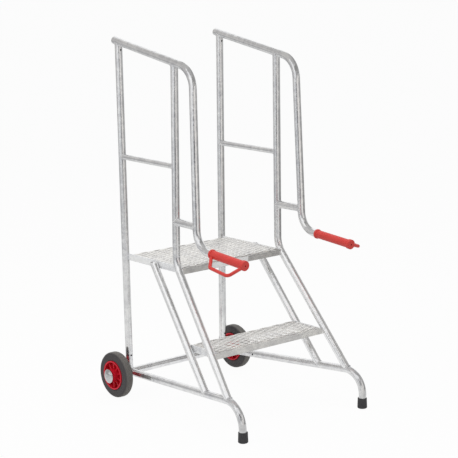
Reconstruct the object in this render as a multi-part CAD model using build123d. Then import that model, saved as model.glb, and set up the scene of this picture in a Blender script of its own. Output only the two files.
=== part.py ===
from build123d import *
import math
import os

# Two-tread mobile access steps in galvanised tube, tipped back on two rear wheels to be pushed.
# Millimetres. +Z is up, the climber stands at -Y and faces +Y, and +X is the climber's right.
# The origin lies on the floor under the middle of the whole object.

# Tube stock and the way it is worked
TUBE_OD = 25.4
TUBE_WALL = 2.0
RAIL_OD = 19.0
RAIL_WALL = 1.5
BEND_RADIUS = 76.0
HANDLE_BEND_RADIUS = 66.0
WELD_GAP = 0.2
VENT_DIAMETER = 7.0

# Deck heights
PLATFORM_HEIGHT = 506.0
TREAD_HEIGHT = 255.0

# Front legs: upright post above the platform, inclined stringer below it
LEG_HALF_WIDTH = 225.0
LEG_BEND_ABOVE_DECK = 9.0
LEG_TOP_LEAN = 5.5
LEG_TOP_INSET = 1.5
STRINGER_ANGLE = 52.0
STRINGER_SPACING = 136.5
STRINGER_TOP_DROP = 4.5

# Rear stiles, standing on the axle tube
STILE_SETBACK = 296.5
STILE_BASE_HALF_WIDTH = 213.0
STILE_TOP_HALF_WIDTH = 221.5
VENT_BELOW_HANDRAIL = 27.5
VENT_ABOVE_AXLE = 60.5

# Handrails: heights are of the tube's axis above the platform deck
HANDRAIL_REAR_RISE = 730.0
HANDRAIL_FRONT_RISE = 664.0
HANDRAIL_OVERHANG = 20.0
DROP_LEAD = 101.5
DROP_LEAN = 17.5
DROP_TOP_HALF_WIDTH = 222.5
HANDLE_HALF_WIDTH = 231.5
HANDLE_RISE = 81.3
HANDLE_REACH = 237.0
HANDLE_FALL = 17.5
MID_RAIL_RISE = 338.0
TIE_RAIL_RISE = 154.0

# Base rails, bent down into the front feet
FOOT_LEAD = 377.5
FOOT_BEND_HALF_WIDTH = 270.0
FOOT_HALF_WIDTH = 266.0
FOOT_BEND_HEIGHT = 127.0
BASE_VENT_AHEAD_OF_AXLE = 165.0

# Rubber foot ferrules
FERRULE_HEIGHT = 35.0
FERRULE_TOP_OD = 31.0
FERRULE_OD = 33.5
FERRULE_SOLE = 8.0
FERRULE_EDGE = 4.0
FERRULE_CLEARANCE = 0.1

# Angle bars, end plates and expanded mesh of the platform and the tread
ANGLE_LEG = 20.0
ANGLE_THICKNESS = 3.0
END_PLATE_DEPTH = 23.0
END_PLATE_THICKNESS = 3.0
PLATE_BITE = 2.0
PLATFORM_LEAD = 23.0
PLATFORM_REAR_GAP = 28.0
TREAD_LEAD = 5.5
TREAD_REAR_LEAD = 3.0
ANGLE_END_LAP = 6.0
MESH_THICKNESS = 3.0
MESH_LONG_PITCH = 56.0
MESH_SHORT_PITCH = 20.0
MESH_STRAND = 5.0
MESH_BORDER = 4.0

# Wheels
WHEEL_OD = 160.0
TYRE_WIDTH = 33.0
TYRE_SHOULDER = 10.0
TYRE_BEAD_INSET = 2.0
TYRE_SIDEWALL_RISE = 4.0
RIM_OD = 101.5
RIM_WALL = 5.0
RIM_WIDTH = 37.5
WEB_THICKNESS = 5.0
RIB_COUNT = 10
RIB_THICKNESS = 4.0
RIB_WIDTH = 26.0
HUB_OD = 44.0
HUB_LENGTH = 60.0
BUSH_OD = 34.0
BUSH_CLEARANCE = 0.08

# What holds the wheels on the axle tube
SIDE_PLAY = 0.5
COLLAR_OD = 34.0
COLLAR_LENGTH = 12.0
COLLAR_GAP = 0.4
WASHER_OD = 40.0
WASHER_THICKNESS = 1.5
CAP_OD = 49.0
CAP_RIM = 3.0
CAP_DOME = 8.0
CAP_WALL = 1.5

# Hand grips with knuckle guards: places along the grip are from its rear face
GRIP_LENGTH = 169.5
GRIP_OD = 28.2
GRIP_REAR_FLANGE_OD = 32.5
GRIP_FRONT_FLANGE_OD = 33.0
GRIP_REAR_FLANGE = 9.0
GRIP_FRONT_FLANGE = 14.0
GRIP_END_WALL = 5.0
GRIP_FLANGE_EDGE = 2.0
GRIP_PINHOLE = 5.0
GRIP_CLEARANCE = 0.1
GUARD_BAR = 11.2
LEFT_GUARD_DROOP = 28.5
RIGHT_GUARD_DROOP = 18.5
GUARD_REAR_FOOT = 14.0
GUARD_REAR_CORNER = 51.7
GUARD_FRONT_CORNER = 148.0
GUARD_FRONT_FOOT = 163.0
GUARD_REAR_REACH = 54.7
GUARD_FRONT_REACH = 62.0
GUARD_BEND = 16.0

# Plugs in the rear ends of the handrails
PLUG_HEAD = 4.0
PLUG_DEPTH = 16.0
PLUG_CLEARANCE = 0.1
PLUG_EDGE = 1.5

# Places worked out from the sizes above
AXLE_HEIGHT = WHEEL_OD / 2
LEG_Y = (FOOT_LEAD + FERRULE_OD / 2 - STILE_SETBACK - WHEEL_OD / 2) / 2
AXLE_Y = LEG_Y + STILE_SETBACK
FOOT_Y = LEG_Y - FOOT_LEAD
LEG_BEND = Vector(LEG_HALF_WIDTH, LEG_Y, PLATFORM_HEIGHT + LEG_BEND_ABOVE_DECK)
TUBE_RADIUS = TUBE_OD / 2
TUBE_BORE = TUBE_OD - 2 * TUBE_WALL
BASE_SPLAY = (FOOT_BEND_HALF_WIDTH - STILE_BASE_HALF_WIDTH) / (AXLE_Y - FOOT_Y)
COLLAR_FACE = STILE_BASE_HALF_WIDTH + TUBE_RADIUS + BASE_SPLAY * COLLAR_OD / 2 + COLLAR_GAP
WHEEL_HALF_TRACK = COLLAR_FACE + COLLAR_LENGTH + SIDE_PLAY + HUB_LENGTH / 2
WASHER_FACE = WHEEL_HALF_TRACK + HUB_LENGTH / 2 + SIDE_PLAY
CAP_FACE = WASHER_FACE + WASHER_THICKNESS
AXLE_HALF_LENGTH = CAP_FACE + CAP_RIM


def between(start, end, share):
    """Point on the line from start to end, at a share of its length."""
    return start + (end - start) * share


def at_height(start, end, height):
    """Point of the line through start and end at a given height."""
    return between(start, end, (height - start.Z) / (end.Z - start.Z))


def at_depth(start, end, depth):
    """Point of the line through start and end at a given Y."""
    return between(start, end, (depth - start.Y) / (end.Y - start.Y))


def swept(path, section):
    return sweep(Plane(origin=path @ 0, z_dir=path % 0) * section, path=path)


def rod(path, diameter):
    """Solid bar along a path."""
    return swept(path, Circle(diameter / 2))


def tube(path, diameter, wall):
    """Open-ended tube along a path."""
    return swept(path, Circle(diameter / 2) - Circle(diameter / 2 - wall))


def coping(path):
    """Cutter that shapes what is welded to a frame tube, with room for the weld."""
    return rod(path, TUBE_OD + 2 * WELD_GAP)


def drill(start, direction, diameter, depth):
    """Hole cutter from a point along a direction."""
    return extrude(Plane(origin=start, z_dir=direction) * Circle(diameter / 2), amount=depth)


def turned(outline, centre):
    """Solid of revolution about an X axis through centre: the outline holds (x, radius) points."""
    return Pos(*centre) * revolve(make_face(Polyline(*outline, close=True)), Axis.X)


def box_between(low, high):
    """Box from its lowest to its highest corner."""
    size = [h - l for l, h in zip(low, high)]
    return Pos(*low) * Box(*size, align=(Align.MIN, Align.MIN, Align.MIN))


# Axes of the right-hand tubes: the left-hand ones mirror them
AXLE_PATH = Line((-AXLE_HALF_LENGTH, AXLE_Y, AXLE_HEIGHT), (AXLE_HALF_LENGTH, AXLE_Y, AXLE_HEIGHT))

STILE_BASE = Vector(STILE_BASE_HALF_WIDTH, AXLE_Y, AXLE_HEIGHT)
STILE_TOP = Vector(STILE_TOP_HALF_WIDTH, AXLE_Y, PLATFORM_HEIGHT + HANDRAIL_REAR_RISE)
STILE_PATH = Line(STILE_BASE, STILE_TOP)

DROP_TOP = Vector(DROP_TOP_HALF_WIDTH, LEG_Y - DROP_LEAD, PLATFORM_HEIGHT + HANDRAIL_FRONT_RISE)
DROP_LOW = Vector(HANDLE_HALF_WIDTH, DROP_TOP.Y - DROP_LEAN, PLATFORM_HEIGHT + HANDLE_RISE)
HANDLE_END = DROP_LOW + Vector(0, -HANDLE_REACH, -HANDLE_FALL)
HANDRAIL_END = at_depth(STILE_TOP, DROP_TOP, AXLE_Y + HANDRAIL_OVERHANG)
HANDRAIL_PATH = FilletPolyline(
    HANDRAIL_END, DROP_TOP, DROP_LOW, HANDLE_END, radius=[BEND_RADIUS, HANDLE_BEND_RADIUS]
)

FOOT_BEND = Vector(FOOT_BEND_HALF_WIDTH, FOOT_Y, FOOT_BEND_HEIGHT)
FOOT_END = Vector(FOOT_HALF_WIDTH, FOOT_Y, FERRULE_SOLE)
BASE_PATH = FilletPolyline(STILE_BASE, FOOT_BEND, FOOT_END, radius=BEND_RADIUS)


def stringer_foot(top_y):
    """Where a stringer that starts at the leg bend's height and a given Y meets the base rail's axis."""
    run = 1 / math.tan(math.radians(STRINGER_ANGLE))
    climb = (FOOT_BEND.Z - STILE_BASE.Z) / (STILE_BASE.Y - FOOT_BEND.Y)
    base_height = STILE_BASE.Z + climb * (STILE_BASE.Y - top_y)
    drop = (LEG_BEND.Z - base_height) / (1 + climb * run)
    return at_depth(STILE_BASE, FOOT_BEND, top_y - drop * run)


LEG_TOP = at_depth(STILE_TOP, DROP_TOP, LEG_Y - LEG_TOP_LEAN) - Vector(LEG_TOP_INSET, 0, 0)
LEG_FOOT = stringer_foot(LEG_Y)
LEG_PATH = FilletPolyline(LEG_TOP, LEG_BEND, LEG_FOOT, radius=BEND_RADIUS)

REAR_STRINGER_BEND = LEG_BEND + Vector(0, STRINGER_SPACING, 0)
REAR_STRINGER_FOOT = stringer_foot(REAR_STRINGER_BEND.Y)
REAR_STRINGER_RAW_TOP = at_height(REAR_STRINGER_BEND, REAR_STRINGER_FOOT, PLATFORM_HEIGHT + TUBE_OD)
REAR_STRINGER_PATH = Line(REAR_STRINGER_RAW_TOP, REAR_STRINGER_FOOT)

MID_RAIL_HEIGHT = PLATFORM_HEIGHT + MID_RAIL_RISE
MID_RAIL_PATH = Line(
    at_height(STILE_BASE, STILE_TOP, MID_RAIL_HEIGHT), at_height(LEG_TOP, LEG_BEND, MID_RAIL_HEIGHT)
)

TIE_RAIL_HEIGHT = PLATFORM_HEIGHT + TIE_RAIL_RISE
TIE_RAIL_PATH = Line(
    at_height(LEG_TOP, LEG_BEND, TIE_RAIL_HEIGHT), at_height(DROP_TOP, DROP_LOW, TIE_RAIL_HEIGHT)
)

AXLE_CUT = coping(AXLE_PATH)
STILE_CUT = coping(STILE_PATH)
HANDRAIL_CUT = coping(HANDRAIL_PATH)
BASE_CUT = coping(BASE_PATH)
LEG_CUT = coping(LEG_PATH)
REAR_STRINGER_CUT = coping(REAR_STRINGER_PATH)


def make_axle_tube():
    return tube(AXLE_PATH, TUBE_OD, TUBE_WALL)


def make_base_rail():
    vent = at_depth(STILE_BASE, FOOT_BEND, AXLE_Y - BASE_VENT_AHEAD_OF_AXLE)
    rail = tube(BASE_PATH, TUBE_OD, TUBE_WALL) - AXLE_CUT
    return rail - drill(vent, (-1, 0, 0), VENT_DIAMETER, TUBE_OD)


def make_rear_stile():
    stile = tube(STILE_PATH, TUBE_OD, TUBE_WALL)
    stile -= AXLE_CUT
    stile -= BASE_CUT
    stile -= HANDRAIL_CUT
    for height in (AXLE_HEIGHT + VENT_ABOVE_AXLE, STILE_TOP.Z - VENT_BELOW_HANDRAIL):
        stile -= drill(at_height(STILE_BASE, STILE_TOP, height), (0, -1, 0), VENT_DIAMETER, TUBE_OD)
    return stile


def make_handrail():
    return tube(HANDRAIL_PATH, TUBE_OD, TUBE_WALL)


def make_front_leg():
    return tube(LEG_PATH, TUBE_OD, TUBE_WALL) - HANDRAIL_CUT - BASE_CUT


def make_rear_stringer():
    """The raw tube starts above the deck, and its open top end is cut level, a little below it."""
    stringer = tube(REAR_STRINGER_PATH, TUBE_OD, TUBE_WALL) - BASE_CUT
    level = Plane.XY.offset(PLATFORM_HEIGHT - STRINGER_TOP_DROP)
    return split(stringer, bisect_by=level, keep=Keep.BOTTOM)


def make_mid_rail():
    return tube(MID_RAIL_PATH, RAIL_OD, RAIL_WALL) - STILE_CUT - LEG_CUT


def make_tie_rail():
    return tube(TIE_RAIL_PATH, TUBE_OD, TUBE_WALL) - LEG_CUT - HANDRAIL_CUT


def make_ferrule():
    """Flared rubber cup, flat on the floor, pushed over the end of the foot tube."""
    profile = Polyline(
        (0, 0), (FERRULE_OD / 2, 0), (FERRULE_TOP_OD / 2, FERRULE_HEIGHT), (0, FERRULE_HEIGHT), close=True
    )
    cup = revolve(Plane.XZ * make_face(profile), Axis.Z)
    cup = fillet(cup.edges().group_by(Axis.Z)[0], FERRULE_EDGE)
    return Pos(FOOT_END.X, FOOT_END.Y, 0) * cup - rod(BASE_PATH, TUBE_OD + 2 * FERRULE_CLEARANCE)


def make_end_plug():
    """Head flush with the tube's outside, stub inside its bore."""
    along = (HANDRAIL_END - DROP_TOP).normalized()
    seat = Plane(origin=HANDRAIL_END, z_dir=along)
    head = extrude(Circle(TUBE_OD / 2), amount=PLUG_HEAD)
    head = fillet(head.edges().group_by(Axis.Z)[-1], PLUG_EDGE)
    stub = extrude(Circle(TUBE_BORE / 2 - PLUG_CLEARANCE), amount=-PLUG_DEPTH)
    return seat * (head + stub)


def make_hand_grip(guard_droop):
    """Right-hand sleeve with two flanges and a guard loop that hangs outboard of the fingers.

    A push-on grip is turned on its tube as it is fitted, so each has its own droop from level.
    """
    along = (HANDLE_END - DROP_LOW).normalized()
    rear_face = HANDLE_END - along * (GRIP_LENGTH - GRIP_END_WALL)
    seat = Plane(origin=rear_face, x_dir=(1, 0, 0), z_dir=along)
    sleeve = extrude(Circle(GRIP_OD / 2), amount=GRIP_LENGTH)
    rear_flange = extrude(Circle(GRIP_REAR_FLANGE_OD / 2), amount=GRIP_REAR_FLANGE)
    rear_flange = fillet(rear_flange.edges().filter_by(GeomType.CIRCLE), GRIP_FLANGE_EDGE)
    front_flange = extrude(Circle(GRIP_FRONT_FLANGE_OD / 2), amount=GRIP_FRONT_FLANGE)
    front_flange = fillet(front_flange.edges().filter_by(GeomType.CIRCLE), GRIP_FLANGE_EDGE)
    front_flange = Pos(0, 0, GRIP_LENGTH - GRIP_FRONT_FLANGE) * front_flange
    root = (TUBE_OD + GRIP_OD) / 4
    loop = FilletPolyline(
        (root, 0, GUARD_REAR_FOOT),
        (GUARD_REAR_REACH, 0, GUARD_REAR_CORNER),
        (GUARD_FRONT_REACH, 0, GUARD_FRONT_CORNER),
        (root, 0, GUARD_FRONT_FOOT),
        radius=GUARD_BEND,
    )
    guard = sweep(Plane(origin=loop @ 0, z_dir=loop % 0) * Circle(GUARD_BAR / 2), path=loop)
    bore = extrude(Circle(TUBE_RADIUS + GRIP_CLEARANCE), amount=GRIP_LENGTH - GRIP_END_WALL)
    pinhole = Pos(0, 0, GRIP_LENGTH) * extrude(Circle(GRIP_PINHOLE / 2), amount=-GRIP_END_WALL)
    droop = Rot(0, 0, -guard_droop)
    return seat * (sleeve + rear_flange + front_flange + droop * guard - bore - pinhole)


PLATFORM_FRONT = LEG_Y - PLATFORM_LEAD
PLATFORM_REAR = AXLE_Y - PLATFORM_REAR_GAP
PLATFORM_HALF = LEG_HALF_WIDTH - TUBE_RADIUS + PLATE_BITE

TREAD_FRONT_AXIS = at_height(LEG_BEND, LEG_FOOT, TREAD_HEIGHT)
TREAD_REAR_AXIS = at_height(REAR_STRINGER_BEND, REAR_STRINGER_FOOT, TREAD_HEIGHT)
TREAD_FRONT = TREAD_FRONT_AXIS.Y - TREAD_LEAD
TREAD_REAR = TREAD_REAR_AXIS.Y - TREAD_REAR_LEAD
TREAD_HALF = TREAD_REAR_AXIS.X - TUBE_RADIUS - WELD_GAP


def both_sides(shape):
    """A shape and its mirror image across the middle."""
    return [shape, mirror(shape, about=Plane.YZ)]


def cross_angle(half, flat_half, edge, inward, top):
    """Angle bar along X: its upright leg stands at the edge, its shorter flat leg points inward along Y."""
    upright = sorted((edge, edge + inward * ANGLE_THICKNESS))
    flat = sorted((edge, edge + inward * ANGLE_LEG))
    bar = box_between((-half, upright[0], top - ANGLE_LEG), (half, upright[1], top))
    return bar + box_between((-flat_half, flat[0], top - ANGLE_THICKNESS), (flat_half, flat[1], top))


def end_plate(half, front, rear, deck):
    """Right-hand flat bar on edge along Y, flush with the deck and welded behind the front angle."""
    low = (half - END_PLATE_THICKNESS, front + ANGLE_THICKNESS, deck - END_PLATE_DEPTH)
    return box_between(low, (half, rear, deck))


def make_mesh(half, front, rear, top):
    """Flat expanded mesh: one holed face of staggered diamonds inside a narrow border."""
    long_half = MESH_LONG_PITCH / 2
    short_half = MESH_SHORT_PITCH / 2
    slant = math.hypot(long_half, short_half)
    shrink = 1 - (MESH_STRAND / 2) * slant / (long_half * short_half)
    hole_x = long_half * shrink
    hole_y = short_half * shrink
    middle = (front + rear) / 2
    clear_x = half - MESH_BORDER - hole_x
    clear_y = (rear - front) / 2 - MESH_BORDER - hole_y
    rows = math.floor(clear_y / short_half)
    columns = math.floor(clear_x / long_half)
    holes = []
    for row in range(-rows, rows + 1):
        for column in range(-columns, columns + 1):
            if (row + column) % 2:
                continue
            x = column * long_half
            y = middle + row * short_half
            corners = [(x + hole_x, y), (x, y + hole_y), (x - hole_x, y), (x, y - hole_y)]
            holes.append(Wire.make_polygon([Vector(*corner) for corner in corners]))
    sheet = Pos(0, middle) * Rectangle(2 * half, rear - front)
    holed = Face(sheet.face().outer_wire(), holes)
    return extrude(Pos(0, 0, top - MESH_THICKNESS) * holed, amount=MESH_THICKNESS, dir=(0, 0, 1))


def make_platform():
    top = PLATFORM_HEIGHT - MESH_THICKNESS
    inner = PLATFORM_HALF - END_PLATE_THICKNESS
    front = cross_angle(LEG_HALF_WIDTH - TUBE_RADIUS + ANGLE_END_LAP, inner, PLATFORM_FRONT, 1, top)
    for cutter in both_sides(LEG_CUT):
        front -= cutter
    rear = cross_angle(inner, inner, PLATFORM_REAR, -1, top)
    plate = end_plate(PLATFORM_HALF, PLATFORM_FRONT, AXLE_Y, PLATFORM_HEIGHT)
    for cutter in (LEG_CUT, REAR_STRINGER_CUT, STILE_CUT):
        plate -= cutter
    right, left = both_sides(plate)
    mesh = make_mesh(inner - WELD_GAP, PLATFORM_FRONT, PLATFORM_REAR, PLATFORM_HEIGHT)
    return {"front_angle": front, "rear_angle": rear, "right_plate": right, "left_plate": left, "mesh": mesh}


def make_tread():
    top = TREAD_HEIGHT - MESH_THICKNESS
    inner = TREAD_HALF - END_PLATE_THICKNESS
    front = cross_angle(TREAD_FRONT_AXIS.X - TUBE_RADIUS + ANGLE_END_LAP, inner, TREAD_FRONT, 1, top)
    for cutter in both_sides(LEG_CUT):
        front -= cutter
    rear = cross_angle(TREAD_REAR_AXIS.X - TUBE_RADIUS + ANGLE_END_LAP, inner, TREAD_REAR, -1, top)
    for cutter in both_sides(REAR_STRINGER_CUT):
        rear -= cutter
    plate = end_plate(TREAD_HALF, TREAD_FRONT, TREAD_REAR - ANGLE_THICKNESS, TREAD_HEIGHT)
    right, left = both_sides(plate)
    mesh = make_mesh(inner - WELD_GAP, TREAD_FRONT, TREAD_REAR, TREAD_HEIGHT)
    return {"front_angle": front, "rear_angle": rear, "right_plate": right, "left_plate": left, "mesh": mesh}


WHEEL_CENTRE = Vector(WHEEL_HALF_TRACK, AXLE_Y, AXLE_HEIGHT)
AXLE_ORIGIN = Vector(0, AXLE_Y, AXLE_HEIGHT)


def ring(inner_radius, outer_radius, start, end, centre=AXLE_ORIGIN):
    """Plain ring about the axle, from one X to another."""
    outline = [(start, inner_radius), (end, inner_radius), (end, outer_radius), (start, outer_radius)]
    return turned(outline, centre)


def make_tyre():
    """Solid tyre with rounded shoulders, narrowest where it sits on the rim."""
    half = TYRE_WIDTH / 2
    bead = half - TYRE_BEAD_INSET
    seat = RIM_OD / 2
    tread = WHEEL_OD / 2
    wide = seat + TYRE_SIDEWALL_RISE
    outline = [(-bead, seat), (bead, seat), (half, wide), (half, tread), (-half, tread), (-half, wide)]
    face = make_face(Polyline(*outline, close=True))
    face = fillet(face.vertices().group_by(Axis.Y)[-1], TYRE_SHOULDER)
    return Pos(*WHEEL_CENTRE) * revolve(face, Axis.X)


def make_wheel_centre():
    """Hub, web and rim in one moulding, stiffened by radial ribs on both sides of the web."""
    rim_inner = RIM_OD / 2 - RIM_WALL
    bore = BUSH_OD / 2
    centre = ring(bore, HUB_OD / 2, -HUB_LENGTH / 2, HUB_LENGTH / 2, Vector())
    centre += ring(rim_inner, RIM_OD / 2, -RIM_WIDTH / 2, RIM_WIDTH / 2, Vector())
    centre += ring(bore, RIM_OD / 2, -WEB_THICKNESS / 2, WEB_THICKNESS / 2, Vector())
    rib_start = (BUSH_OD + HUB_OD) / 4
    rib_end = rim_inner + RIM_WALL / 2
    rib = Pos(0, 0, (rib_start + rib_end) / 2) * Box(RIB_WIDTH, RIB_THICKNESS, rib_end - rib_start)
    for index in range(RIB_COUNT):
        centre += Rot(index * 360 / RIB_COUNT, 0, 0) * rib
    return Pos(*WHEEL_CENTRE) * centre


def make_bush():
    start = WHEEL_HALF_TRACK - HUB_LENGTH / 2
    return ring(TUBE_RADIUS + BUSH_CLEARANCE, BUSH_OD / 2, start, start + HUB_LENGTH)


def make_axle_collar():
    return ring(TUBE_RADIUS, COLLAR_OD / 2, COLLAR_FACE, COLLAR_FACE + COLLAR_LENGTH)


def make_washer():
    return ring(TUBE_RADIUS, WASHER_OD / 2, WASHER_FACE, WASHER_FACE + WASHER_THICKNESS)


def make_hub_cap():
    """Push-on cap: a flanged ring that grips the axle, closed by a pressed dome."""
    rim = CAP_FACE + CAP_RIM
    crown = rim + CAP_DOME
    outside = make_face(
        Polyline((CAP_FACE, 0), (CAP_FACE, CAP_OD / 2), (rim, CAP_OD / 2))
        + ThreePointArc((rim, CAP_OD / 2), dome_point(rim, CAP_OD / 2, CAP_DOME), (crown, 0))
        + Line((crown, 0), (CAP_FACE, 0))
    )
    dome = revolve(outside, Axis.X)
    inside_radius = CAP_OD / 2 - CAP_WALL
    inside = make_face(
        Line((rim, 0), (rim, inside_radius))
        + ThreePointArc(
            (rim, inside_radius), dome_point(rim, inside_radius, CAP_DOME - CAP_WALL), (crown - CAP_WALL, 0)
        )
        + Line((crown - CAP_WALL, 0), (rim, 0))
    )
    cap = Pos(0, AXLE_Y, AXLE_HEIGHT) * (dome - revolve(inside, Axis.X))
    return cap - rod(AXLE_PATH, TUBE_OD)


def dome_point(base, radius, rise):
    """A point half way along the arc of a dome, which stands on its base circle."""
    ball = (radius ** 2 + rise ** 2) / (2 * rise)
    middle = math.asin(radius / ball) / 2
    return (base + rise - ball * (1 - math.cos(middle)), ball * math.sin(middle))


SIDE_PIECES = {
    "base_rail": make_base_rail,
    "rear_stile": make_rear_stile,
    "handrail": make_handrail,
    "front_leg": make_front_leg,
    "rear_stringer": make_rear_stringer,
    "mid_rail": make_mid_rail,
    "tie_rail": make_tie_rail,
    "foot_ferrule": make_ferrule,
    "handrail_plug": make_end_plug,
    "tyre": make_tyre,
    "wheel_centre": make_wheel_centre,
    "wheel_bush": make_bush,
    "axle_collar": make_axle_collar,
    "axle_washer": make_washer,
    "hub_cap": make_hub_cap,
}

nodes = {"axle_tube": make_axle_tube()}
for name, make in SIDE_PIECES.items():
    nodes["right_" + name], nodes["left_" + name] = both_sides(make())
nodes["right_hand_grip"] = make_hand_grip(RIGHT_GUARD_DROOP)
nodes["left_hand_grip"] = mirror(make_hand_grip(LEFT_GUARD_DROOP), about=Plane.YZ)
for name, shape in make_platform().items():
    nodes["platform_" + name] = shape
for name, shape in make_tread().items():
    nodes["tread_" + name] = shape

os.makedirs("parts", exist_ok=True)
for name, shape in nodes.items():
    export_step(shape, f"parts/{name}.step")
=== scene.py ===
import math

import bmesh
import bpy
from mathutils import Matrix, Vector


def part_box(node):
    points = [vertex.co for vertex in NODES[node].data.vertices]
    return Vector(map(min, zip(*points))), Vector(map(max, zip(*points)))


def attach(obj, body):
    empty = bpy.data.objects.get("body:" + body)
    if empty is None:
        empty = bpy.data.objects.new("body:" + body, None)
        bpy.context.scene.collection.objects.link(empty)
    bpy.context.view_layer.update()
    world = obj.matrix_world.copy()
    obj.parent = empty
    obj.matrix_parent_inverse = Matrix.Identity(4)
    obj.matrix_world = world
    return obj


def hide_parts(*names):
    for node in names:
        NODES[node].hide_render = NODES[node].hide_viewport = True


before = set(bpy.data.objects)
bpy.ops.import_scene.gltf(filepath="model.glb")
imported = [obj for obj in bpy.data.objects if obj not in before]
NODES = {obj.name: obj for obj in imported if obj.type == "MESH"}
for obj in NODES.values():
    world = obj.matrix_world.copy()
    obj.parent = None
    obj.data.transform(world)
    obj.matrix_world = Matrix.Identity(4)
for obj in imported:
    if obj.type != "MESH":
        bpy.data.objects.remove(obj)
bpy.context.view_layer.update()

SIDES = {"right": 1, "left": -1}

ACROSS = (1, 0, 0)
ALONG = (0, 1, 0)
UPWARD = (0, 0, 1)

# Sizes and places of the right-hand tubes, in metres: the left-hand ones mirror them
TUBE_R = 0.0127
RAIL_R = 0.0095
AXLE_Y = 0.305375
AXLE_Z = 0.080
AXLE_HALF = 0.3
STRINGER_ANGLE = math.radians(52)
STRINGER_SPACING = 0.1365
STILE_BASE = Vector((0.213, AXLE_Y, AXLE_Z))
STILE_TOP = Vector((0.2215, AXLE_Y, 1.236))
DROP_TOP = Vector((0.2225, -0.092625, 1.170))
DROP_LOW = Vector((0.2315, -0.110125, 0.5873))
FOOT_BEND = Vector((0.270, -0.368625, 0.127))
LEG_BEND = Vector((0.225, 0.008875, 0.515))
LEG_TOP_Y = 0.003375
LEG_TOP_INSET = Vector((0.0015, 0, 0))
MID_RAIL_Z = 0.844
TIE_RAIL_Z = 0.660


def at_height(start, end, z):
    return start + (end - start) * ((z - start.z) / (end.z - start.z))


def at_depth(start, end, y):
    return start + (end - start) * ((y - start.y) / (end.y - start.y))


def stringer_foot(top_y):
    """Where a stringer that starts at the leg bend's height meets the base rail's axis."""
    run = 1 / math.tan(STRINGER_ANGLE)
    climb = (FOOT_BEND.z - STILE_BASE.z) / (STILE_BASE.y - FOOT_BEND.y)
    base_z = STILE_BASE.z + climb * (STILE_BASE.y - top_y)
    drop = (LEG_BEND.z - base_z) / (1 + climb * run)
    return at_depth(STILE_BASE, FOOT_BEND, top_y - drop * run)


LEG_TOP = at_depth(STILE_TOP, DROP_TOP, LEG_TOP_Y) - LEG_TOP_INSET
LEG_FOOT = stringer_foot(LEG_BEND.y)
STRINGER_BEND = LEG_BEND + Vector((0, STRINGER_SPACING, 0))
STRINGER_FOOT = stringer_foot(STRINGER_BEND.y)

STRINGER_DIR = (LEG_BEND - LEG_FOOT).normalized()
RAIL_DIR = (STILE_TOP - DROP_TOP).normalized()
DROP_DIR = (DROP_TOP - DROP_LOW).normalized()
BASE_DIR = (STILE_BASE - FOOT_BEND).normalized()
POST_DIR = (LEG_TOP - LEG_BEND).normalized()


# Materials

# Heights at which the streaks of the base rail and the handrail turn down their bends, and the
# height above and below a bend over which its streaks turn, and its wear, painted shade and painted
# highlight fade in
FOOT_TURN_Z = 0.10
DROP_TURN_Z = 1.13
BEND_FADE = 0.03

# Zinc: noise scales of its runs (twice across the tube, then along it), spangle, clouds and lumps
RUN_SCALE = (260.0, 260.0, 4.0)
SPANGLE_SCALE = 170.0
CLOUD_SCALE = 18.0
LUMP_SCALE = 58.0

# Zinc: the spangle's dull and bright flakes, and the shades of the layers that lie over them
FLAKE_DULL = (0.925, 0.928, 0.937)
FLAKE_BRIGHT = (0.980, 0.980, 0.976)
CLOUD_SHADES = ((0.35, (0.90, 0.90, 0.91)), (0.62, (1.0, 1.0, 0.995)))
LUMP_SHADES = ((0.37, (0.87, 0.87, 0.88)), (0.58, (1.0, 1.0, 1.0)))
RUN_SHADES = ((0.32, (0.90, 0.902, 0.908)), (0.58, (1.0, 1.0, 1.0)))
COAT_STRENGTH = 0.5
COAT_DEPTH = 0.0026

# Multiplies the zinc of the decks and their bars
WARM = (1.02, 1.0, 0.96)
PLAIN = (1.0, 1.0, 1.0)

# Rubber, vinyl and plastic
DRIFT_SCALE = 38.0
GRAIN_STRENGTH = 0.3
GRAIN_DEPTH = 0.00012

# Tyre: radii between which the sidewall turns into the tread, which is painted lighter as if lit
# from above, then its grain and dust
PAINTED_LIGHT_TREAD_START = 0.0760
PAINTED_LIGHT_TREAD_FULL = 0.0796
TYRE_GRAIN = 1400.0
TYRE_ROUGH = (0.50, 0.72)
DUST_SCALE = 60.0
DUST_SHADES = ((0.3, 0.82), (0.7, 1.0))

# Stickers
GRIME_SCALE = 70.0
GRIME_SHADES = ((0.3, (0.80, 0.80, 0.79)), (0.6, (0.90, 0.90, 0.895)))
PAPER_ROUGH = (0.28, 0.45)
RIPPLE_SCALE = 160.0
RIPPLE_STRENGTH = 0.15
RIPPLE_DEPTH = 0.0002


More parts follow.
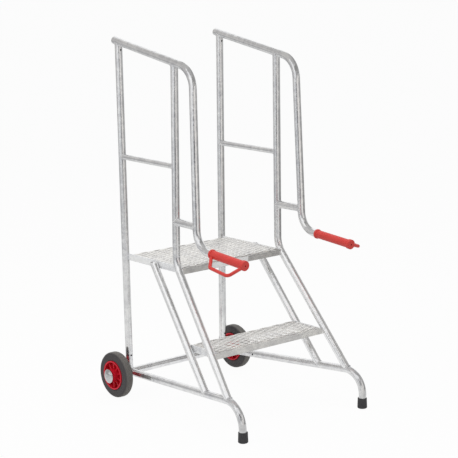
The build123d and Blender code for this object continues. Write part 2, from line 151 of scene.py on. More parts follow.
class Shader:
    """A principled material under construction, with short names for the nodes it uses."""

    def __init__(self, name):
        self.material = bpy.data.materials.new(name)
        self.material.use_nodes = True
        self.tree = self.material.node_tree
        self.tree.nodes.clear()
        self.bsdf = self.node("ShaderNodeBsdfPrincipled")
        out = self.node("ShaderNodeOutputMaterial")
        self.link(self.bsdf.outputs["BSDF"], out.inputs["Surface"])
        self.coords = self.node("ShaderNodeTexCoord").outputs["Object"]

    def node(self, kind, **settings):
        made = self.tree.nodes.new(kind)
        for key, value in settings.items():
            setattr(made, key, value)
        return made

    def link(self, a, b):
        self.tree.links.new(a, b)

    def feed(self, socket, value):
        """Gives a socket a plain number, or links it to another socket."""
        if isinstance(value, (int, float)):
            socket.default_value = value
        else:
            self.link(value, socket)

    def set(self, **values):
        for key, value in values.items():
            self.bsdf.inputs[key.replace("_", " ")].default_value = value

    def place(self):
        made = self.node("ShaderNodeSeparateXYZ")
        self.link(self.coords, made.inputs["Vector"])
        return made.outputs["X"], made.outputs["Y"], made.outputs["Z"]

    def mapped(self, vector, scale=(1, 1, 1), turn=(0, 0, 0)):
        made = self.node("ShaderNodeMapping")
        made.inputs["Scale"].default_value = scale
        made.inputs["Rotation"].default_value = turn
        self.link(vector, made.inputs["Vector"])
        return made.outputs["Vector"]

    def noise(self, scale, detail=3.0, rough=0.5, vector=None):
        made = self.node("ShaderNodeTexNoise")
        made.inputs["Scale"].default_value = scale
        made.inputs["Detail"].default_value = detail
        made.inputs["Roughness"].default_value = rough
        self.link(vector or self.coords, made.inputs["Vector"])
        return made.outputs["Fac"]

    def cells(self, scale):
        made = self.node("ShaderNodeTexVoronoi")
        made.inputs["Scale"].default_value = scale
        self.link(self.coords, made.inputs["Vector"])
        grey = self.node("ShaderNodeRGBToBW")
        self.link(made.outputs["Color"], grey.inputs["Color"])
        return grey.outputs["Val"]

    def ramp(self, fac, *stops):
        """Colour ramp: each stop is a place from 0 to 1 and a colour, or a number for a grey."""
        made = self.node("ShaderNodeValToRGB")
        for element, (place, colour) in zip(made.color_ramp.elements, stops):
            element.position = place
            element.color = (*colour, 1) if isinstance(colour, tuple) else (colour,) * 3 + (1,)
        self.link(fac, made.inputs["Fac"])
        return made.outputs["Color"]

    def spread(self, value, start, end, low=0.0, high=1.0):
        """The value's way from start to end, as a number from low to high."""
        made = self.node("ShaderNodeMapRange")
        made.inputs["From Min"].default_value = start
        made.inputs["From Max"].default_value = end
        made.inputs["To Min"].default_value = low
        made.inputs["To Max"].default_value = high
        self.link(value, made.inputs["Value"])
        return made.outputs["Result"]

    def math(self, kind, a, b):
        made = self.node("ShaderNodeMath", operation=kind)
        for socket, value in zip(made.inputs, (a, b)):
            self.feed(socket, value)
        return made.outputs["Value"]

    def weighted(self, *parts):
        """Sum of values, each times its own weight."""
        total = None
        for value, weight in parts:
            part = self.math("MULTIPLY", value, weight)
            total = part if total is None else self.math("ADD", total, part)
        return total

    def mix(self, fac, a, b, blend="MIX"):
        made = self.node("ShaderNodeMix", data_type="RGBA", blend_type=blend)
        self.feed(made.inputs[0], fac)
        colour_sockets = [socket for socket in made.inputs if socket.type == "RGBA"]
        for socket, value in zip(colour_sockets, (a, b)):
            if isinstance(value, tuple):
                socket.default_value = (*value, 1)
            else:
                self.link(value, socket)
        return next(socket for socket in made.outputs if socket.type == "RGBA")

    def mix_numbers(self, fac, a, b):
        made = self.node("ShaderNodeMix", data_type="FLOAT")
        sockets = [socket for socket in made.inputs if socket.type == "VALUE"]
        for source, socket in zip((fac, a, b), sockets):
            self.link(source, socket)
        return next(socket for socket in made.outputs if socket.type == "VALUE")

    def colour(self, value):
        self.link(value, self.bsdf.inputs["Base Color"])

    def roughness(self, fac, low, high):
        self.link(self.spread(fac, 0.0, 1.0, low, high), self.bsdf.inputs["Roughness"])

    def bump(self, height, strength, distance):
        made = self.node("ShaderNodeBump")
        made.inputs["Strength"].default_value = strength
        made.inputs["Distance"].default_value = distance
        self.link(height, made.inputs["Height"])
        self.link(made.outputs["Normal"], self.bsdf.inputs["Normal"])


def along(direction):
    """Turn that lays a direction on Z, so that streaks can follow a tube."""
    return tuple(Vector(direction).rotation_difference(Vector(UPWARD)).to_euler("XYZ"))


def galvanised(
    name, direction=UPWARD, low_direction=None, split_z=0.0, painted_low_shade=1.0, light=1.0,
    rough=(0.15, 0.24), metal=1.0, tone=PLAIN, wear_and_painted_light=1.0, low_wear_and_painted_light=1.0,
):
    """Hot-dip zinc: faint spangle, clouds, lumps and runs along the tube.

    A bent tube has a second direction below split_z. There its colour can be painted darker, as
    shade, and its clouds, lumps and runs weakened, which paints it lighter, as a highlight; a whole
    tube can be lightened the same way.
    """
    s = Shader(name)
    s.set(Metallic=metal)
    x, y, z = s.place()
    folded = s.node("ShaderNodeCombineXYZ")
    s.link(s.math("ABSOLUTE", x, 0.0), folded.inputs["X"])
    s.link(y, folded.inputs["Y"])
    s.link(z, folded.inputs["Z"])

    def streaks(run):
        turned = s.mapped(folded.outputs["Vector"], turn=along(run))
        return s.noise(1.0, detail=2.0, vector=s.mapped(turned, scale=RUN_SCALE))

    def toned(levels):
        return tuple(level * light * share for level, share in zip(levels, tone))

    streak = streaks(direction)
    spangle = s.cells(SPANGLE_SCALE)
    cloud = s.noise(CLOUD_SCALE, detail=4.0, rough=0.6)
    lumps = s.noise(LUMP_SCALE, detail=2.0)
    tint = s.ramp(spangle, (0.1, toned(FLAKE_DULL)), (0.9, toned(FLAKE_BRIGHT)))
    blend_with_painted_light = wear_and_painted_light
    if low_direction is not None:
        upper = s.spread(z, split_z - BEND_FADE, split_z + BEND_FADE)
        blend_with_painted_light = s.ramp(upper, (0.0, low_wear_and_painted_light), (1.0, wear_and_painted_light))
        streak = s.mix_numbers(upper, streaks(low_direction), streak)
        # Painted shade: below split_z the tint is multiplied down, which darkens the base rail's
        # foot bends near the floor
        tint = s.mix(1.0, tint, s.ramp(upper, (0.0, painted_low_shade), (1.0, 1.0)), "MULTIPLY")
    # Painted highlight: where these layers are weakened, on the stringers and the front legs below
    # their bends, the zinc is lighter, standing in for brighter highlights
    for layer, shades in ((cloud, CLOUD_SHADES), (lumps, LUMP_SHADES), (streak, RUN_SHADES)):
        tint = s.mix(blend_with_painted_light, tint, s.ramp(layer, *shades), "MULTIPLY")
    s.colour(tint)
    s.roughness(s.weighted((spangle, 0.35), (cloud, 0.65)), *rough)
    coat = s.weighted((streak, 0.15), (lumps, 0.6), (cloud, 0.25))
    s.bump(coat, COAT_STRENGTH, COAT_DEPTH)
    return s.material


def moulded(name, colour, dark, rough, grain=900.0, grain_depth=GRAIN_DEPTH, specular=0.5):
    """Rubber, vinyl or plastic: colour drifts a little, with a fine moulded grain."""
    s = Shader(name)
    s.set(Specular_IOR_Level=specular)
    drift = s.noise(DRIFT_SCALE, detail=5.0, rough=0.6)
    fine = s.noise(grain, detail=2.0)
    s.colour(s.mix(s.ramp(drift, (0.3, 0.0), (0.7, 1.0)), dark, colour))
    s.roughness(s.weighted((fine, 0.5), (drift, 0.5)), *rough)
    s.bump(fine, GRAIN_STRENGTH, grain_depth)
    return s.material


def tyre_rubber(name, sidewall, tread):
    """Black rubber with its tread painted lighter, as lit from above: the tint follows the distance
    from the axle's line.
    """
    s = Shader(name)
    _, y, z = s.place()
    back = s.math("SUBTRACT", y, AXLE_Y)
    lift = s.math("SUBTRACT", z, AXLE_Z)
    square = s.math("ADD", s.math("MULTIPLY", back, back), s.math("MULTIPLY", lift, lift))
    dust = s.noise(DUST_SCALE, detail=5.0, rough=0.6)
    fine = s.noise(TYRE_GRAIN, detail=2.0)
    blend_with_painted_light = s.mix(s.spread(square, PAINTED_LIGHT_TREAD_START ** 2, PAINTED_LIGHT_TREAD_FULL ** 2), sidewall, tread)
    s.colour(s.mix(1.0, blend_with_painted_light, s.ramp(dust, *DUST_SHADES), "MULTIPLY"))
    s.roughness(s.weighted((fine, 0.5), (dust, 0.5)), *TYRE_ROUGH)
    s.bump(fine, GRAIN_STRENGTH, GRAIN_DEPTH)
    return s.material


def paper(name):
    """Plain white sticker: a faint ripple, and a little grime."""
    s = Shader(name)
    grime = s.noise(GRIME_SCALE, detail=5.0, rough=0.7)
    s.colour(s.ramp(grime, *GRIME_SHADES))
    s.roughness(grime, *PAPER_ROUGH)
    s.bump(s.noise(RIPPLE_SCALE), RIPPLE_STRENGTH, RIPPLE_DEPTH)
    return s.material


ZINC_UPRIGHT = galvanised("zinc_upright", STILE_TOP - STILE_BASE, metal=0.93)
# Painted highlight: the front legs below their bends have weaker mottling, so they are lighter
ZINC_LEG = galvanised("zinc_leg", POST_DIR, STRINGER_DIR, LEG_BEND.z, low_wear_and_painted_light=0.35)
# Painted highlight: the rear stringers have weaker mottling along their whole length, so they are
# lighter
ZINC_STRINGER = galvanised("zinc_stringer", STRINGER_DIR, wear_and_painted_light=0.35)
ZINC_ALONG = galvanised("zinc_along", ALONG)
# Painted shade: the base rail is darkened below FOOT_TURN_Z, at its foot bends, as shade near the
# floor
ZINC_BASE = galvanised("zinc_base", BASE_DIR, UPWARD, FOOT_TURN_Z, painted_low_shade=0.82, metal=0.88)
ZINC_ACROSS = galvanised("zinc_across", ACROSS)
ZINC_HANDRAIL = galvanised("zinc_handrail", RAIL_DIR, DROP_DIR, DROP_TURN_Z)
# Painted shade: the platform's angle bars are darkened to 0.76 and the tread's to 0.88, shaded
# copies of one zinc
ZINC_BAR_PAINTED_SHADE = galvanised("zinc_bar_painted_shade", ACROSS, light=0.76, rough=(0.26, 0.38), metal=0.75, tone=WARM)
ZINC_TREAD_BAR_PAINTED_SHADE = galvanised(
    "zinc_tread_bar_painted_shade", ACROSS, light=0.88, rough=(0.28, 0.40), metal=0.5, tone=WARM
)
# Painted light: the deck side plates are lightened to 1.02, to look lit inside the stringers' shade
ZINC_PLATE_PAINTED_LIGHT = galvanised("zinc_plate", ALONG, light=1.02, rough=(0.22, 0.34), metal=0.15)
ZINC_DECK = galvanised("zinc_deck", ACROSS, light=0.99, rough=(0.32, 0.44), metal=0.6, tone=WARM)
ZINC_WELD = galvanised("zinc_weld", UPWARD, light=0.96, rough=(0.26, 0.38))
PLATED = galvanised("zinc_plated", ACROSS, light=0.70, rough=(0.07, 0.15))
# Painted light: the tread's colour is lighter and warmer than the sidewall's, as light falling from
# above
TYRE = tyre_rubber("tyre_rubber", sidewall=(0.058, 0.053, 0.055), tread=(0.165, 0.154, 0.143))
FERRULE = moulded(
    "ferrule_rubber", (0.046, 0.045, 0.048), (0.034, 0.033, 0.036), rough=(0.55, 0.75), grain=1100.0
)
GRIP = moulded(
    "grip_vinyl", (0.680, 0.056, 0.046), (0.630, 0.047, 0.038),
    rough=(0.42, 0.55), grain=700.0, grain_depth=0.00005,
)
WHEEL_RED = moulded(
    "wheel_plastic", (0.700, 0.015, 0.038), (0.610, 0.011, 0.029),
    rough=(0.38, 0.52), grain=600.0, specular=0.3,
)
BUSH = moulded("bush_plastic", (0.09, 0.09, 0.09), (0.07, 0.07, 0.07), rough=(0.4, 0.6))
LABEL = paper("label_blank")

NODE_MATERIALS = {
    "base_rail": ZINC_BASE,
    "rear_stile": ZINC_UPRIGHT,
    "handrail": ZINC_HANDRAIL,
    "front_leg": ZINC_LEG,
    "rear_stringer": ZINC_STRINGER,
    "mid_rail": ZINC_ALONG,
    "tie_rail": ZINC_ALONG,
    "foot_ferrule": FERRULE,
    "handrail_plug": ZINC_ALONG,
    "hand_grip": GRIP,
    "tyre": TYRE,
    "wheel_centre": WHEEL_RED,
    "wheel_bush": BUSH,
    "axle_collar": PLATED,
    "axle_washer": PLATED,
    "hub_cap": PLATED,
    "axle_tube": ZINC_ACROSS,
    "front_angle": ZINC_BAR_PAINTED_SHADE,
    "rear_angle": ZINC_BAR_PAINTED_SHADE,
    "tread_front_angle": ZINC_TREAD_BAR_PAINTED_SHADE,
    "tread_rear_angle": ZINC_TREAD_BAR_PAINTED_SHADE,
    "right_plate": ZINC_PLATE_PAINTED_LIGHT,
    "left_plate": ZINC_PLATE_PAINTED_LIGHT,
    "mesh": ZINC_DECK,
}


def kind_of(node):
    """A node's name in the table above: its own, or its name without its side or its deck."""
    if node in NODE_MATERIALS:
        return node
    for lead in ("left_", "right_", "platform_", "tread_"):
        if node.startswith(lead) and node[len(lead):] in NODE_MATERIALS:
            return node[len(lead):]
    return node


for node_name, node_object in NODES.items():
    node_object.data.materials.clear()
    node_object.data.materials.append(NODE_MATERIALS[kind_of(node_name)])


# Pieces made here


def piece(name, body, verts, faces, material, smooth=True):
    mesh = bpy.data.meshes.new(name)
    mesh.from_pydata([tuple(v) for v in verts], [], faces)
    mesh.update()
    work = bmesh.new()
    work.from_mesh(mesh)
    bmesh.ops.recalc_face_normals(work, faces=work.faces)
    work.to_mesh(mesh)
    work.free()
    for face in mesh.polygons:
        face.use_smooth = smooth
    mesh.materials.append(material)
    made = bpy.data.objects.new(name, mesh)
    bpy.context.scene.collection.objects.link(made)
    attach(made, body)
    return made


def mirrored(points, sign):
    return [Vector((p.x * sign, p.y, p.z)) for p in points]


def add_ring_tube(verts, faces, rings, closed):
    """Skins rings with equal counts: a closed row joins end to end, an open one gets end caps."""
    start = len(verts)
    count = len(rings[0])
    for ring in rings:
        verts.extend(ring)
    rows = len(rings)
    for i in range(rows if closed else rows - 1):
        a = start + i * count
        b = start + ((i + 1) % rows) * count
        for j in range(count):
            k = (j + 1) % count
            faces.append((a + j, b + j, b + k, a + k))
    if not closed:
        faces.append(tuple(start + j for j in range(count)))
        faces.append(tuple(start + (rows - 1) * count + j for j in reversed(range(count))))


# Weld beads: the end rings of an open bead start at a share of its radius and gain by ring
BEAD_SIDES = 8
BEAD_STEPS = 88
BEAD_R = 0.0022
BEAD_RIPPLE = 0.16
BEAD_END_SHARE = 0.35
BEAD_END_GAIN = 0.25
DECK_BEAD_R = 0.0016
DECK_BEAD_STEPS = 22
DECK_BEAD_INSET = 0.001
DECK_BEAD_LEAST_POINTS = 6


def saddle(branch_from, branch_to, branch_r, main_a, main_b, main_r):
    """Closed curve where a branch tube runs into a main tube."""
    d = (branch_to - branch_from).normalized()
    m = (main_b - main_a).normalized()
    u = d.orthogonal().normalized()
    v = d.cross(u)
    e = d - m * d.dot(m)
    points = []
    for i in range(BEAD_STEPS):
        angle = 2 * math.pi * i / BEAD_STEPS
        s = branch_from + (u * math.cos(angle) + v * math.sin(angle)) * branch_r
        w = (s - main_a) - m * (s - main_a).dot(m)
        a, b, c = e.dot(e), 2 * w.dot(e), w.dot(w) - main_r ** 2
        t = (-b - math.sqrt(max(0.0, b * b - 4 * a * c))) / (2 * a)
        points.append(s + d * t)
    return points


def unwound(previous, ring):
    """The ring turned so that its first point follows on from the previous ring's."""
    count = len(ring)

    def gap(turn):
        return sum((previous[j] - ring[(j + turn) % count]).length for j in range(0, count, 2))

    best = min(range(count), key=gap)
    return [ring[(j + best) % count] for j in range(count)]


def add_bead(verts, faces, points, closed, radius=BEAD_R):
    """Weld bead along points, with the ripple of a hand-laid weld: four rings to a wave."""
    rings = []
    n = len(points)
    for i, p in enumerate(points):
        before = points[i - 1] if closed or i else p
        after = points[(i + 1) % n] if closed or i < n - 1 else p
        tangent = (after - before).normalized()
        side = tangent.orthogonal().normalized()
        up = tangent.cross(side)
        swell = 1 + BEAD_RIPPLE * math.sin(i * math.pi / 2)
        if not closed:
            swell *= min(1.0, BEAD_END_SHARE + min(i, n - 1 - i) * BEAD_END_GAIN)
        r = radius * swell
        ring = []
        for j in range(BEAD_SIDES):
            angle = 2 * math.pi * j / BEAD_SIDES
            ring.append(p + (side * math.cos(angle) + up * math.sin(angle)) * r)
        rings.append(ring)
    for i in range(1, n):
        rings[i] = unwound(rings[i - 1], rings[i])
    add_ring_tube(verts, faces, rings, closed)


def tube_welds():
    """Saddle curves of every welded joint of the right-hand side frame."""
    mid_rear = at_height(STILE_BASE, STILE_TOP, MID_RAIL_Z)
    mid_front = at_height(LEG_TOP, LEG_BEND, MID_RAIL_Z)
    tie_rear = at_height(LEG_TOP, LEG_BEND, TIE_RAIL_Z)
    tie_front = at_height(DROP_TOP, DROP_LOW, TIE_RAIL_Z)
    axle = (Vector((-AXLE_HALF, AXLE_Y, AXLE_Z)), Vector((AXLE_HALF, AXLE_Y, AXLE_Z)))
    rail = (STILE_TOP, DROP_TOP)
    stile = (STILE_BASE, STILE_TOP)
    post = (LEG_TOP, LEG_BEND)
    base = (STILE_BASE, FOOT_BEND)
    drop = (DROP_TOP, DROP_LOW)
    joints = [
        (STILE_BASE, STILE_TOP, TUBE_R, rail),
        (STILE_TOP, STILE_BASE, TUBE_R, axle),
        (FOOT_BEND, STILE_BASE, TUBE_R, axle),
        (LEG_BEND, LEG_TOP, TUBE_R, rail),
        (LEG_BEND, LEG_FOOT, TUBE_R, base),
        (STRINGER_BEND, STRINGER_FOOT, TUBE_R, base),
        (mid_front, mid_rear, RAIL_R, stile),
        (mid_rear, mid_front, RAIL_R, post),
        (tie_front, tie_rear, TUBE_R, post),
        (tie_rear, tie_front, TUBE_R, drop),
    ]
    return [saddle(start, end, radius, *main, TUBE_R) for start, end, radius, main in joints]


for side, sign in SIDES.items():
    bead_verts, bead_faces = [], []
    for curve in tube_welds():
        add_bead(bead_verts, bead_faces, mirrored(curve, sign), True)
    piece(f"{side}_tube_welds", "frame", bead_verts, bead_faces, ZINC_WELD)


def edge_of_tube(start, end, plane, value, z, root):
    """Point at height z where a face at X or Y equal to value meets a tube, if it does.

    Plane is 0 for a face at X and 1 for one at Y, and root -1 or 1 picks the tube's side.
    """
    d = (end - start).normalized()
    p = Vector((0, 0, z))
    p[plane] = value
    step = Vector((0, 0, 0))
    step[1 - plane] = 1.0
    w = (p - start) - d * (p - start).dot(d)
    e = step - d * step.dot(d)
    a, b, c = e.dot(e), 2 * w.dot(e), w.dot(w) - TUBE_R ** 2
    inside = b * b - 4 * a * c
    if inside < 0:
        return None
    return p + step * ((-b + root * math.sqrt(inside)) / (2 * a))


def deck_welds():
    """Short beads where the right-hand ends of the decks meet the tubes."""
    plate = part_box("platform_right_plate")
    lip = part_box("platform_front_angle")
    tread_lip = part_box("tread_front_angle")
    tread_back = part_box("tread_rear_angle")
    front = (LEG_BEND, LEG_FOOT)
    rear = (STRINGER_BEND, STRINGER_FOOT)
    stile = (STILE_BASE, STILE_TOP)
    runs = [
        (stile, 0, plate[1].x, plate, -1),
        (stile, 0, plate[0].x, plate, -1),
        (rear, 0, plate[1].x, plate, -1),
        (rear, 0, plate[1].x, plate, 1),
        (front, 0, plate[1].x, plate, 1),
        (front, 1, lip[0].y, lip, -1),
        (front, 1, tread_lip[0].y, tread_lip, -1),
        (rear, 1, tread_back[1].y, tread_back, -1),
    ]
    curves = []
    for (start, end), plane, value, (low, high), root in runs:
        foot = low.z + DECK_BEAD_INSET
        climb = high.z - low.z - 2 * DECK_BEAD_INSET
        heights = [foot + climb * i / DECK_BEAD_STEPS for i in range(DECK_BEAD_STEPS + 1)]
        points = [edge_of_tube(start, end, plane, value, z, root) for z in heights]
        points = [point for point in points if point is not None]
        if len(points) >= DECK_BEAD_LEAST_POINTS:
            curves.append(points)
    return curves


for side, sign in SIDES.items():
    bead_verts, bead_faces = [], []
    for curve in deck_welds():
        add_bead(bead_verts, bead_faces, mirrored(curve, sign), False, DECK_BEAD_R)
    piece(f"{side}_deck_welds", "frame", bead_verts, bead_faces, ZINC_WELD)


# Expanded mesh decks: zigzag strands, twisted so that each leans back from the climber

STRAND_PITCH = 0.010
STRAND_WIDTH = 0.0044
STRAND_THICK = 0.0018
KNOT_PITCH = 0.056
KNOT_LENGTH = 0.013
KNOT_TILT = math.radians(9)
STRAND_TILT = math.radians(20)
STRAND_SWING = 0.0029
STRAND_STEP = 0.0035


def strand_place(x, parity):
    """Sideways swing from -1 to 1 of a strand at x, and its tilt."""
    half = KNOT_PITCH / 2
    phase = (x / half + parity) % 2.0
    distance = abs(phase - 1.0) * half
    slope = half - KNOT_LENGTH
    share = min(1.0, max(0.0, (distance - KNOT_LENGTH / 2) / slope))
    smooth = share * share * (3 - 2 * share)
    twist = 1 - abs(2 * share - 1)
    return 1 - 2 * smooth, KNOT_TILT + (STRAND_TILT - KNOT_TILT) * twist


def strand_ring(x, y, z, tilt):
    """Corners of a strand's section at a place, leaning by its tilt."""
    lean, rise = math.cos(tilt), math.sin(tilt)
    ring = []
    for a, b in ((-1, -1), (1, -1), (1, 1), (-1, 1)):
        w, t = a * STRAND_WIDTH / 2, b * STRAND_THICK / 2
        ring.append(Vector((x, y + w * lean - t * rise, z + w * rise + t * lean)))
    return ring


def expanded_deck(deck):
    """Strands that fill the box of a deck's flat mesh, and take its place."""
    low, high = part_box(f"{deck}_mesh")
    count = int((high.y - low.y - STRAND_WIDTH) / STRAND_PITCH)
    first = (low.y + high.y) / 2 - (count - 1) * STRAND_PITCH / 2
    steps = int((high.x - low.x) / STRAND_STEP)
    depth = STRAND_WIDTH * math.sin(STRAND_TILT) + STRAND_THICK * math.cos(STRAND_TILT)
    base = low.z + depth / 2
    verts, faces = [], []
    for row in range(count):
        rings = []
        for i in range(steps + 1):
            x = low.x + (high.x - low.x) * i / steps
            swing, tilt = strand_place(x, row % 2)
            y = first + row * STRAND_PITCH + swing * STRAND_SWING
            rings.append(strand_ring(x, y, base, tilt))
        add_ring_tube(verts, faces, rings, False)
    name = f"{deck}_expanded_mesh"
    made = piece(name, "frame", verts, faces, ZINC_DECK, smooth=False)
    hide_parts(f"{deck}_mesh")


for deck_name in ("platform", "tread"):
    expanded_deck(deck_name)


# Blank stickers on the platform's front lip and its left side

STICKER_CORNER = 0.003
STICKER_CORNER_STEPS = 4
STICKER_FACES = (0.00005, 0.0004)
FRONT_LABEL_X = -0.0115
FRONT_LABEL_SIZE = (0.159, 0.0185)
SIDE_LABEL_Y = 0.2219
SIDE_LABEL_LIFT = 0.0095
SIDE_LABEL_SIZE = (0.127, 0.0162)


def sticker(name, centre, right, up, size):
    """Rounded thin plate that lies on a flat face: right and up span the face."""
    width, height = size
    out = right.cross(up)
    outline = []
    for cx, cy, start in ((1, 1, 0), (-1, 1, 90), (-1, -1, 180), (1, -1, 270)):
        for step in range(STICKER_CORNER_STEPS + 1):
            angle = math.radians(start + step * 90 / STICKER_CORNER_STEPS)
            x = cx * (width / 2 - STICKER_CORNER) + STICKER_CORNER * math.cos(angle)
            y = cy * (height / 2 - STICKER_CORNER) + STICKER_CORNER * math.sin(angle)
            outline.append((x, y))
    rings = [
        [centre + right * x + up * y + out * lift for x, y in outline] for lift in STICKER_FACES
    ]
    verts, faces = [], []
    add_ring_tube(verts, faces, rings, False)
    piece(name, "frame", verts, faces, LABEL, smooth=False)


front_low, front_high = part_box("platform_front_angle")
front_centre = Vector((FRONT_LABEL_X, front_low.y, (front_low.z + front_high.z) / 2))
sticker("front_label_blank", front_centre, Vector(ACROSS), Vector(UPWARD), FRONT_LABEL_SIZE)

side_low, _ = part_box("platform_left_plate")
side_centre = Vector((side_low.x, SIDE_LABEL_Y, side_low.z + SIDE_LABEL_LIFT))
sticker("side_label_blank", side_centre, Vector((0, -1, 0)), Vector(UPWARD), SIDE_LABEL_SIZE)


# Stage: floor, light, cards that the metal mirrors, and the camera

CAMERA_YAW = math.radians(-39.82)
CAMERA_PITCH = math.radians(11.57)
CAMERA_ROLL = math.radians(-0.91)
CAMERA_PLACE = Vector((-3.4824, -4.1726, 1.7169))
CAMERA_LENS = 128.58
CAMERA_SENSOR = 36.0

# What the lamps face and the cards stand round
TARGET = Vector((0, 0, 0.62))

FLOOR_HALF = 40.0
FLOOR_Z = -0.0004
FLOOR_COLOUR = (0.72, 0.715, 0.70)

# Share of white that the camera sees of the floor: the rest is its own colour, with the shadow
FLOOR_SHOWN = 0.955

# Painted reflection: mirrors see the floor whiter near a middle under the base rails, which paints
# bright edges on the rails.
# Middle of that whiter floor, then distance from it in metres with the share of white that mirrors
# show of the floor there
FLOOR_PAINTED_GLOW_MIDDLE = (0.0, 0.14, 0.0)
FLOOR_NEAR = (0.42, 0.74)
FLOOR_FAR = (0.70, 0.15)

SKY_COLOUR = (0.97, 0.985, 1.0)
SKY_STRENGTH = 0.52

CARD_COLUMNS = 12
CARD_ROWS = 8
CEILING_HALF = 1.3
CEILING_HEIGHT = 2.6

WHITE = (1.0, 1.0, 1.0)
MIDDLE = (0.42, 0.42, 0.42)
DARK = (0.14, 0.14, 0.15)
DARK_RIGHT = (0.21, 0.205, 0.20)
GREY_RIGHT = (0.36, 0.355, 0.35)
GREY_FRONT = (0.32, 0.32, 0.315)
GREY_CEILING = (0.50, 0.495, 0.485)


def glow_upward(name, foot, top, blend):
    """Card material: from its foot's colour to its top's, which starts at a share of its height."""
    material = bpy.data.materials.new(name)
    material.use_nodes = True
    tree = material.node_tree
    tree.nodes.clear()
    place = tree.nodes.new("ShaderNodeTexCoord")
    height = tree.nodes.new("ShaderNodeSeparateXYZ")
    fade = tree.nodes.new("ShaderNodeValToRGB")
    fade.color_ramp.elements[0].color = (*foot, 1)
    fade.color_ramp.elements[1].color = (*top, 1)
    fade.color_ramp.elements[1].position = blend
    glow = tree.nodes.new("ShaderNodeEmission")
    glow.inputs["Strength"].default_value = 1.0
    out = tree.nodes.new("ShaderNodeOutputMaterial")
    tree.links.new(place.outputs["Generated"], height.inputs["Vector"])
    tree.links.new(height.outputs["Z"], fade.inputs["Fac"])
    tree.links.new(fade.outputs["Color"], glow.inputs["Color"])
    tree.links.new(glow.outputs["Emission"], out.inputs["Surface"])
    material.cycles.emission_sampling = "NONE"
    return material


def shown_share(tree, to_camera, to_mirrors):
    """Share of plain white that camera rays see, and that glossy and transmitted rays see."""
    path = tree.nodes.new("ShaderNodeLightPath")
    total = None
    for ray, share in (("Camera", to_camera), ("Glossy", to_mirrors), ("Transmission", to_mirrors)):
        scaled = tree.nodes.new("ShaderNodeMath")
        scaled.operation = "MULTIPLY"
        if isinstance(share, float):
            scaled.inputs[1].default_value = share
        else:
            tree.links.new(share, scaled.inputs[1])
        tree.links.new(path.outputs[f"Is {ray} Ray"], scaled.inputs[0])
        if total is None:
            total = scaled.outputs["Value"]
            continue
        most = tree.nodes.new("ShaderNodeMath")
        most.operation = "MAXIMUM"
        tree.links.new(total, most.inputs[0])
        tree.links.new(scaled.outputs["Value"], most.inputs[1])
        total = most.outputs["Value"]
    return total


def near_far(tree, middle, near, far):
    """Value that follows the distance from a place: near and far are each a distance and a value."""
    place = tree.nodes.new("ShaderNodeTexCoord")
    away = tree.nodes.new("ShaderNodeVectorMath")
    away.operation = "DISTANCE"
    away.inputs[1].default_value = middle
    fade = tree.nodes.new("ShaderNodeMapRange")
    fade.inputs["From Min"].default_value, fade.inputs["To Min"].default_value = near
    fade.inputs["From Max"].default_value, fade.inputs["To Max"].default_value = far
    tree.links.new(place.outputs["Object"], away.inputs[0])
    tree.links.new(away.outputs["Value"], fade.inputs["Value"])
    return fade.outputs["Result"]


def level_square(name, half, z):
    mesh = bpy.data.meshes.new(name)
    corners = [(-half, -half, z), (half, -half, z), (half, half, z), (-half, half, z)]
    mesh.from_pydata(corners, [], [(0, 1, 2, 3)])
    return mesh


def make_floor():
    mesh = level_square("floor", FLOOR_HALF, 0)
    floor = bpy.data.objects.new("floor", mesh)
    floor.location.z = FLOOR_Z
    bpy.context.scene.collection.objects.link(floor)
    material = bpy.data.materials.new("floor_pale")
    material.use_nodes = True
    tree = material.node_tree
    tree.nodes.clear()
    matte = tree.nodes.new("ShaderNodeBsdfDiffuse")
    matte.inputs["Color"].default_value = (*FLOOR_COLOUR, 1)
    glow = tree.nodes.new("ShaderNodeEmission")
    glow.inputs["Strength"].default_value = 1.0
    mix = tree.nodes.new("ShaderNodeMixShader")
    out = tree.nodes.new("ShaderNodeOutputMaterial")
    # Painted reflection: the floor shows mirrors more white near the base rails
    mirrored_share_with_painted_glow = near_far(tree, FLOOR_PAINTED_GLOW_MIDDLE, FLOOR_NEAR, FLOOR_FAR)
    tree.links.new(shown_share(tree, FLOOR_SHOWN, mirrored_share_with_painted_glow), mix.inputs["Fac"])
    tree.links.new(matte.outputs["BSDF"], mix.inputs[1])
    tree.links.new(glow.outputs["Emission"], mix.inputs[2])
    tree.links.new(mix.outputs["Shader"], out.inputs["Surface"])
    mesh.materials.append(material)


def make_world():
    world = bpy.data.worlds.new("studio")
    bpy.context.scene.world = world
    world.use_nodes = True
    world.cycles.sampling_method = "NONE"
    tree = world.node_tree
    tree.nodes.clear()
    plain = tree.nodes.new("ShaderNodeBackground")
    plain.inputs["Color"].default_value = (*WHITE, 1)
    plain.inputs["Strength"].default_value = 1.0
    soft = tree.nodes.new("ShaderNodeBackground")
    soft.inputs["Color"].default_value = (*SKY_COLOUR, 1)
    soft.inputs["Strength"].default_value = SKY_STRENGTH
    mix = tree.nodes.new("ShaderNodeMixShader")
    out = tree.nodes.new("ShaderNodeOutputWorld")
    tree.links.new(shown_share(tree, 1.0, 1.0), mix.inputs["Fac"])
    tree.links.new(soft.outputs["Background"], mix.inputs[1])
    tree.links.new(plain.outputs["Background"], mix.inputs[2])
    tree.links.new(mix.outputs["Shader"], out.inputs["Surface"])


def round_camera(angle, distance, height):
    """Place on a circle round the object: angle 0 is the camera's side, positive to its right."""
    a = CAMERA_YAW + math.radians(angle)
    return (math.sin(a) * distance, -math.cos(a) * distance, height)


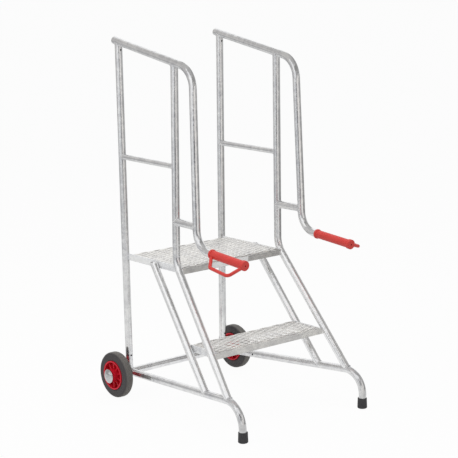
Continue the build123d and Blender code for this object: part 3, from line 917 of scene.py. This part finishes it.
def softbox(name, place, size, energy):
    lamp = bpy.data.lights.new(name, "AREA")
    lamp.shape = "RECTANGLE"
    lamp.size, lamp.size_y = size
    lamp.energy = energy
    made = bpy.data.objects.new(name, lamp)
    made.location = place
    made.rotation_euler = (TARGET - Vector(place)).to_track_quat("-Z", "Y").to_euler()
    made.visible_glossy = False
    bpy.context.scene.collection.objects.link(made)


def only_mirrored(made):
    bpy.context.scene.collection.objects.link(made)
    for ray in ("camera", "diffuse", "transmission", "volume_scatter", "shadow"):
        setattr(made, "visible_" + ray, False)


def card(name, sides, heights, foot, top, blend, distance):
    """Studio card that only reflections see: part of a ball round the object."""
    verts, faces = [], []
    for i in range(CARD_COLUMNS + 1):
        turn = CAMERA_YAW + math.radians(sides[0] + (sides[1] - sides[0]) * i / CARD_COLUMNS)
        for j in range(CARD_ROWS + 1):
            lift = math.radians(heights[0] + (heights[1] - heights[0]) * j / CARD_ROWS)
            level = math.cos(lift)
            out = Vector((math.sin(turn) * level, -math.cos(turn) * level, math.sin(lift)))
            verts.append(TARGET + out * distance)
    for i in range(CARD_COLUMNS):
        for j in range(CARD_ROWS):
            a = i * (CARD_ROWS + 1) + j
            faces.append((a, a + CARD_ROWS + 1, a + CARD_ROWS + 2, a + 1))
    mesh = bpy.data.meshes.new(name)
    mesh.from_pydata(verts, [], faces)
    mesh.materials.append(glow_upward(name, foot, top, blend))
    only_mirrored(bpy.data.objects.new(name, mesh))


def make_ceiling():
    """Level card over the object."""
    mesh = level_square("card_ceiling", CEILING_HALF, CEILING_HEIGHT)
    mesh.materials.append(glow_upward("card_ceiling", GREY_CEILING, GREY_CEILING, 1.0))
    only_mirrored(bpy.data.objects.new("card_ceiling", mesh))


def make_camera():
    data = bpy.data.cameras.new("camera")
    data.sensor_width = CAMERA_SENSOR
    data.lens = CAMERA_LENS
    camera = bpy.data.objects.new("camera", data)
    back = Vector((
        math.sin(CAMERA_YAW) * math.cos(CAMERA_PITCH),
        -math.cos(CAMERA_YAW) * math.cos(CAMERA_PITCH),
        math.sin(CAMERA_PITCH),
    ))
    right = Vector((math.cos(CAMERA_YAW), math.sin(CAMERA_YAW), 0))
    up = back.cross(right)
    c, s = math.cos(CAMERA_ROLL), math.sin(CAMERA_ROLL)
    x_axis = right * c + up * s
    y_axis = up * c - right * s
    turn = Matrix((x_axis, y_axis, back)).transposed().to_4x4()
    camera.matrix_world = Matrix.Translation(CAMERA_PLACE) @ turn
    bpy.context.scene.collection.objects.link(camera)
    bpy.context.scene.camera = camera


# Lamps: name, place, width and height in metres, and watts
LAMPS = [
    ("key_left", round_camera(-62, 3.2, 2.6), (2.2, 2.2), 46),
    ("fill_right", round_camera(48, 3.6, 1.9), (1.6, 2.2), 22),
    ("top", (0.2, 0.1, 3.4), (2.6, 2.6), 34),
]

# Cards: name, angles from the camera's side (positive to its right), angles above the target,
# colours at foot and top, share of its height where the top's colour starts, and distance
CARDS = [
    ("card_camera", (-17, 6), (-14, 13.5), MIDDLE, DARK, 0.46, 1.5),
    ("card_warm", (10, 60), (-12, 40), (0.83, 0.80, 0.77), (0.88, 0.855, 0.83), 1.0, 3.0),
    ("card_right", (70, 134), (-17, 20), DARK_RIGHT, (0.52, 0.51, 0.50), 1.0, 2.0),
    ("card_right_high", (40, 158), (21, 60), GREY_RIGHT, GREY_RIGHT, 1.0, 2.0),
    ("card_right_low", (54, 72), (-17, -4), DARK_RIGHT, MIDDLE, 1.0, 2.05),
    ("card_left_low", (-150, -76), (-12, -1), (0.30, 0.30, 0.30), (0.77, 0.785, 0.81), 1.0, 3.0),
    ("card_left_near", (-75, -31), (-12, -1), (0.30, 0.30, 0.305), (0.95, 0.98, 1.0), 1.0, 3.0),
    ("card_left_high", (-118, -58), (0, 55), (0.65, 0.64, 0.63), (0.46, 0.45, 0.44), 1.0, 3.0),
    ("card_left_window", (-57.5, -17.5), (0.5, 9), (0.75, 0.76, 0.775), WHITE, 1.0, 3.0),
    ("card_left_far", (-150, -118), (0, 55), (0.80, 0.79, 0.78), (0.68, 0.67, 0.66), 1.0, 3.0),
    ("card_left_back", (-124, -90), (-10, 15), (0.45, 0.45, 0.455), (0.45, 0.445, 0.44), 1.0, 2.6),
    ("card_left_spot", (-80, -70), (-2, 8), WHITE, WHITE, 1.0, 2.6),
    ("card_bends", (-5, 75), (43, 60), (0.29, 0.29, 0.285), (0.29, 0.285, 0.28), 1.0, 1.15),
    ("card_front_high", (0, 30), (9, 32), GREY_FRONT, GREY_FRONT, 1.0, 2.9),
]

make_floor()
make_world()
for lamp_row in LAMPS:
    softbox(*lamp_row)
for card_row in CARDS:
    card(*card_row)
make_ceiling()
make_camera()

bpy.context.scene.view_settings.view_transform = "Standard"
